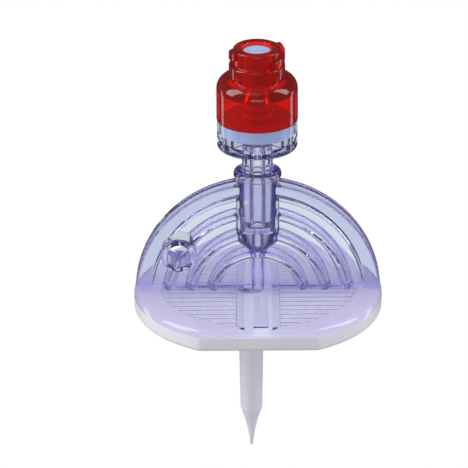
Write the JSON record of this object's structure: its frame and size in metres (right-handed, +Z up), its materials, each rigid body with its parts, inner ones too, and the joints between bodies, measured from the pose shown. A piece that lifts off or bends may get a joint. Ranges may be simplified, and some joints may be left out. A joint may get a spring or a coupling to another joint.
{
  "type": "dispensing spike",
  "caption": "Vented vial dispensing spike: hollow spike under a round filter plate, clear ribbed grip wall with a luer hub, and a needle-free valve on top.",
  "frame": {"origin": "on the spike's axis, where the spike leaves the underside of the plate", "axes": "+Z up along the spike's axis, away from its tip; +X along the grip wall, away from the side boss; -Y out of the wall's face that carries the side boss"},
  "size_m": [0.0348, 0.0306, 0.0613],
  "materials": {
    "white_plastic": "satin moulded white plastic",
    "filter_membrane": "matt porous film",
    "clear_violet_plastic": "polished clear plastic with a faint violet tint",
    "clear_plastic": "polished clear plastic",
    "clear_red_plastic": "polished clear red plastic",
    "silicone": "satin pale blue silicone"
  },
  "bodies": {
    "housing": {"spike_base": "white_plastic", "filter_membrane_left": "filter_membrane", "filter_membrane_right": "filter_membrane", "cover_shell": "clear_violet_plastic", "valve_base": "clear_plastic", "valve_cap": "clear_red_plastic"},
    "piston": {"valve_piston": "silicone"}
  },
  "joints": [
    {"name": "piston_press", "type": "slide", "parent": "housing", "child": "piston", "axis": [0, 0, -1], "range_m": [0, 0.005], "stiffness_N_per_m": 1000, "deforming": ["valve_piston"]}
  ]
}
